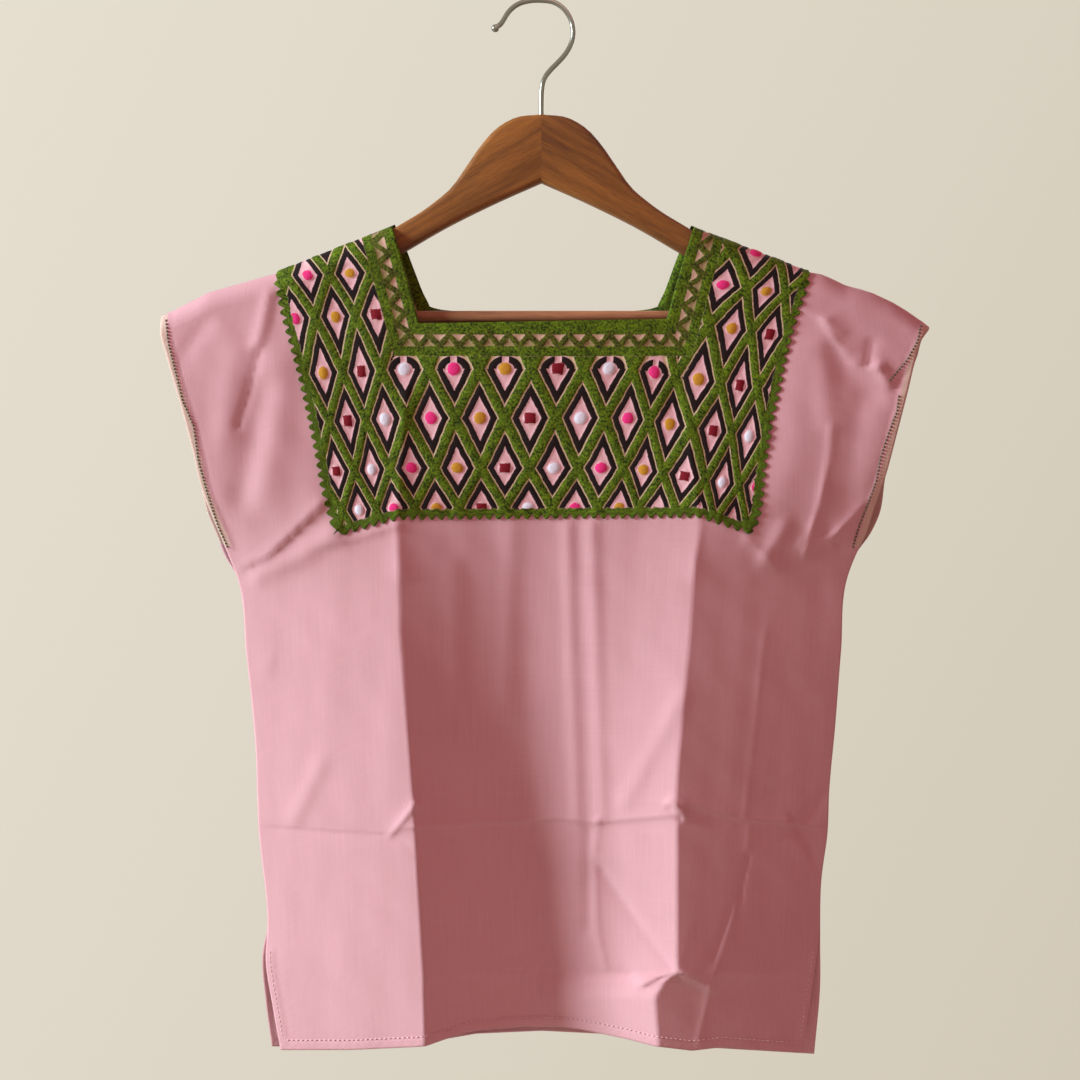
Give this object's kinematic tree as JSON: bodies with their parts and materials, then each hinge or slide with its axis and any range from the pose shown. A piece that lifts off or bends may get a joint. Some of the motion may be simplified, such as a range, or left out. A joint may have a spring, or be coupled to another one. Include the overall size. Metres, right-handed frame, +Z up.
{
  "type": "blouse on hanger",
  "caption": "Cap-sleeved cotton blouse with an embroidered yoke and side slits, hanging open on a wooden hanger with a wire hook.",
  "frame": {"origin": "where the hook hangs, at the inside of the top of its bend, in the hanger's middle plane", "axes": "+Z up, +X to the right as seen from the front, the front of the blouse faces -Y"},
  "size_m": [0.5178, 0.0763, 0.7103],
  "materials": {
    "cotton": "matt plain-weave cotton",
    "embroidery": "dense raised thread",
    "wood": "satin oiled walnut",
    "steel": "bright wire"
  },
  "bodies": {
    "root": {"front_panel": "cotton", "back_panel": "cotton", "yoke_front": "embroidery", "yoke_back": "embroidery", "hanger_arm_left": "wood", "hanger_arm_right": "wood", "hanger_bar": "wood", "hook": "steel"}
  },
  "joints": []
}
